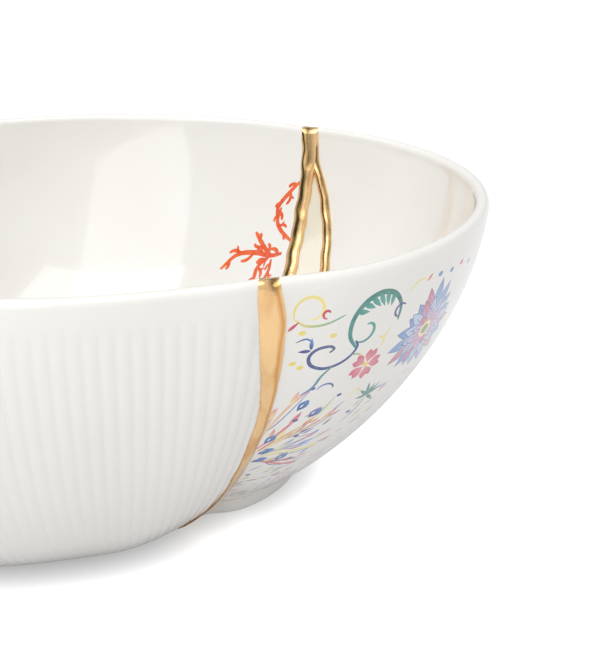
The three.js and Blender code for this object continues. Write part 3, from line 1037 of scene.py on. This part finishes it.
# A spray of long strokes from the lower edge of the near seam, with drops and berries at its root
def paint_spray(brush, root):
    rays = (
        (80, 20, "straw", "blush"), (70, 26, "straw", "blush"), (62, 18, "blush", "pink"),
        (54, 25, "straw", "straw"), (46, 19, "pink", "straw"), (38, 23, "straw", "pink"),
        (29, 17, "blush", "sky"), (20, 20, "straw", "blush"), (10, 15, "sky", "mist"),
        (0, 18, "yellow", "straw"), (-12, 13, "pink", "slate"), (-26, 15, "blush", "red"),
    )
    for k, (direction, length, first, last) in enumerate(rays):
        bow = 1.4 * math.sin(1.7 * k)
        places = []
        for reach, side in ((4.0, 0.0), (0.45 * length, bow), (0.8 * length, bow), (length, 0.0)):
            places.append(brush.toward(root, direction, reach, side))
        brush.line(places, 0.8, first, last, tips=0.3)
        brush.petal(places[2], direction + 8, 4.0 + 0.5 * (k % 3), 1.3, first, last)
        if k % 2 == 0:
            brush.petal(places[1], direction + 24, 5.2, 1.2, "straw", last)
        else:
            between = brush.toward(places[1], direction, 3.2, -1.0)
            brush.line([places[1], between, places[3]], 0.35, "slate", "sky")
    drops = (
        (3.4, 6.0, 58), (3.0, 1.4, 30), (7.4, 17.6, 60), (2.4, -2.4, 20), (8.4, -3.2, 60), (10.4, 14.4, 48),
    )
    for right, above, direction in drops:
        start = brush.beside(root, right, above)
        brush.petal(start, direction, 4.0, 2.3, "blue", "sky", belly=1.15)
        brush.petal(brush.beside(start, 0.5, 1.1), direction, 1.3, 0.4, "white", "white")
    for right, above in ((0.8, -1.4), (1.4, 3.6), (0.4, 9.5), (1.4, -5.6)):
        brush.dot(brush.beside(root, right, above), 0.85, "red")
    for right, above in ((9, 24.5), (15.5, 20.4), (8, 14.2), (10, 7.6), (21, 12), (4, -10)):
        brush.dot(brush.beside(root, right, above), 0.5, "blue", 1.4)


# Loose marks over the low part of the wall, thinning out round the shard
def scatter_marks(brush, first, last, top, bottom, count):
    chance = np.random.default_rng(11)
    names = ("pink", "slate", "sky", "blush", "red", "yellow", "violet")
    for k in range(count):
        spot = chance.uniform(first, last), chance.uniform(top, bottom)
        direction = chance.uniform(15, 60)
        length, width = chance.uniform(1.6, 3.8), chance.uniform(0.4, 0.75)
        brush.petal(spot, direction, length, width, names[k % 7], names[(k + 3) % 7])


def paint_floral():
    brush = Brush(FLORAL, inside=False)
    scatter_marks(brush, -58, -28, 32, 78, 90)
    scatter_marks(brush, -68, -44, 56, 80, 70)
    scatter_marks(brush, -28, 44, 34, 76, 90)
    paint_spray(brush, (-66.4, 50.0))
    for turn in (0.0, 44.0, 82.0):
        paint_panel(brush, turn)
    for degrees in (-20.0, 16.0):
        paint_spray(brush, (degrees, 50.0))
    return brush.strokes


# Coral-like sprigs on the inside of the fluted shard, beside the far seam
def paint_coral():
    brush = Brush(FLUTED, inside=True)
    long_stem = [(43.4, 33.6), (46.4, 35.2), (50.4, 35.4), (55.2, 37.2), (58.0, 42.5)]
    sprigs = (
        ([(46.6, 12.6), (48.2, 16.0), (49.8, 20.6), (49.2, 24.0)], 1.5, "flame", "coral", 4, 3.8),
        ([(49.0, 21.0), (48.6, 25.0), (46.4, 27.6), (42.4, 29.6)], 1.3, "coral", "flame", 3, 3.2),
        (long_stem, 1.6, "coral", "flame", 6, 4.8),
        ([(46.2, 35.0), (49.4, 33.0), (53.0, 29.6)], 1.4, "coral", "flame", 3, 3.6),
        ([(46.6, 35.4), (48.2, 39.4), (47.6, 43.6), (48.8, 49.0)], 1.4, "coral", "flame", 4, 3.8),
        ([(45.6, 36.0), (44.6, 40.0), (45.2, 45.0)], 1.2, "coral", "flame", 3, 3.0),
    )
    for sprig in sprigs:
        brush.sprig(*sprig)
    return brush.strokes


# Pieces
fluted_rows = rows_of(FLUTED, wall_step=2.2, wall_spacing=FULL_TURN / (FLUTE_COUNT * FLUTE_STEPS))
floral_rows = rows_of(FLORAL, wall_step=2.0, wall_spacing=math.radians(1.5))
fluted = build_shard(FLUTED, fluted_rows, paint_coral())
floral = build_shard(FLORAL, floral_rows, paint_floral())
seam = lay_seam()
sliver = lay_sliver()

glaze = make_glaze_group()
white = porcelain("white_porcelain", glaze, GLAZE_WHITE, GLAZE_WARM, GLAZE_SPECKS, True)
painted = porcelain("painted_porcelain", glaze, GLAZE_WHITE, GLAZE_WARM, GLAZE_SPECKS, True)
# The sliver's porcelain is a darker, warmer copy of the white one: painted shade
cream = porcelain("cream_porcelain", glaze, CREAM_SHADE_PALE, CREAM_SHADE_DEEP, CREAM_SPECKS, False)
dress(fluted, white, "fluted_shard")
dress(floral, painted, "floral_shard")
dress(seam, gold_leaf(), "gold_seam")
dress(sliver, cream, "cream_shard")


# Stage: a white floor that glows, its glow dimmed into a painted contact shadow at the bowl and, for light
# that reaches the bowl, into a painted shadow round it; light from above and from a tall softbox, and a sky
# that shows a dark side only in reflections
WHITE = (1, 1, 1, 1)
FLOOR_SIZE = 8.0
FLOOR_COLOUR = (0.15, 0.15, 0.15, 1)
FLOOR_ROUGHNESS = 0.6
CONTACT_REACH = 0.01
CONTACT_OPEN = 0.6
CONTACT_SHADOW_GLOW = 0.3
SKY = 0.62
SKY_MIRRORED = 0.75
SKY_DARK = 0.08
SKY_SEEN = 1.0
DARK_SIDE = (-0.8, -0.6, 0.2)
DARK_SPREAD = (0.6, 0.85)
FLOOR_GLOW = 1.0
FLOOR_SHADOWED_GLOW = 0.48
FLOOR_FAR = 0.72
FLOOR_SHADE = (0.06, 0.14)
OVERHEAD = {"place_at": (-0.2, -0.45, 1.6), "aim_at": (0.0, 0.0, 0.0), "size": (1.8, 1.4), "power": 14.0}
SOFTBOX = {
    "place_at": (-0.52, -1.06, 0.85), "aim_at": (0.0, 0.0, 0.05), "size": (0.9, 1.75), "power": 6.3,
    "roll": 23.0,
}
CAMERA_PLACE = (0.0495, -0.295, 0.1506)
CAMERA_PITCH = 21.24
CAMERA_LENS = 72
CAMERA_SENSOR = 36
CAMERA_NEAR = 0.01


def lay_floor():
    select_nothing()
    bpy.ops.mesh.primitive_plane_add(size=FLOOR_SIZE)
    ground = bpy.context.object
    ground.name = "studio_floor"
    material, tree, shader = start_material("pale_floor")
    # Painted contact shadow: the glow dims where the bowl comes close
    near = add_node(tree, "AmbientOcclusion", {"Distance": CONTACT_REACH})["AO"]
    glow = spread(tree, near, 0.0, CONTACT_OPEN, CONTACT_SHADOW_GLOW, FLOOR_GLOW)
    # Painted shadow round the bowl, left out of what the camera sees: the glow is weaker near the bowl's
    # middle
    reach = add_node(tree, "VectorMath", {0: object_place(tree)}, "LENGTH")["Value"]
    shade = spread(tree, reach, *FLOOR_SHADE, FLOOR_SHADOWED_GLOW, FLOOR_FAR)
    looked_at = add_node(tree, "LightPath", {})["Is Camera Ray"]
    cast = spread(tree, looked_at, 0.0, 1.0, shade, 1.0)
    feed(tree, shader, {
        "Base Color": FLOOR_COLOUR, "Roughness": FLOOR_ROUGHNESS, "Emission Color": WHITE,
        "Emission Strength": combine(tree, "MULTIPLY", glow, cast),
    })
    ground.data.materials.append(material)


def add_light(name, place_at, aim_at, size, power, roll=0.0):
    select_nothing()
    bpy.ops.object.light_add(type="AREA", location=place_at)
    lamp = bpy.context.object
    lamp.name = name
    lamp.data.shape = "RECTANGLE"
    lamp.data.size, lamp.data.size_y = size
    lamp.data.energy = power
    aim = (Vector(aim_at) - Vector(place_at)).to_track_quat("-Z", "Y")
    lamp.rotation_euler = (aim @ Quaternion((0, 0, 1), math.radians(roll))).to_euler()


def light_sky():
    world = bpy.data.worlds.new("studio")
    bpy.context.scene.world = world
    world.use_nodes = True
    tree = world.node_tree
    direction = add_node(tree, "TexCoord", {})["Generated"]
    dark = Vector(DARK_SIDE).normalized()
    front = add_node(tree, "VectorMath", {0: direction, 1: dark}, "DOT_PRODUCT")["Value"]
    dim = spread(tree, front, *DARK_SPREAD, SKY_MIRRORED, SKY_DARK)
    path = add_node(tree, "LightPath", {})
    mirrored = spread(tree, path["Is Glossy Ray"], 0.0, 1.0, SKY, dim)
    seen = spread(tree, path["Is Camera Ray"], 0.0, 1.0, mirrored, SKY_SEEN)
    feed(tree, tree.nodes["Background"], {"Color": WHITE, "Strength": seen})


lay_floor()
light_sky()
add_light("overhead", **OVERHEAD)
add_light("softbox", **SOFTBOX)
bpy.ops.object.camera_add(location=CAMERA_PLACE, rotation=(math.radians(90 - CAMERA_PITCH), 0, 0))
camera = bpy.context.object
camera.data.lens = CAMERA_LENS
camera.data.sensor_width = CAMERA_SENSOR
camera.data.sensor_fit = "HORIZONTAL"
camera.data.clip_start = CAMERA_NEAR
bpy.context.scene.camera = camera
bpy.context.scene.view_settings.view_transform = "Standard"
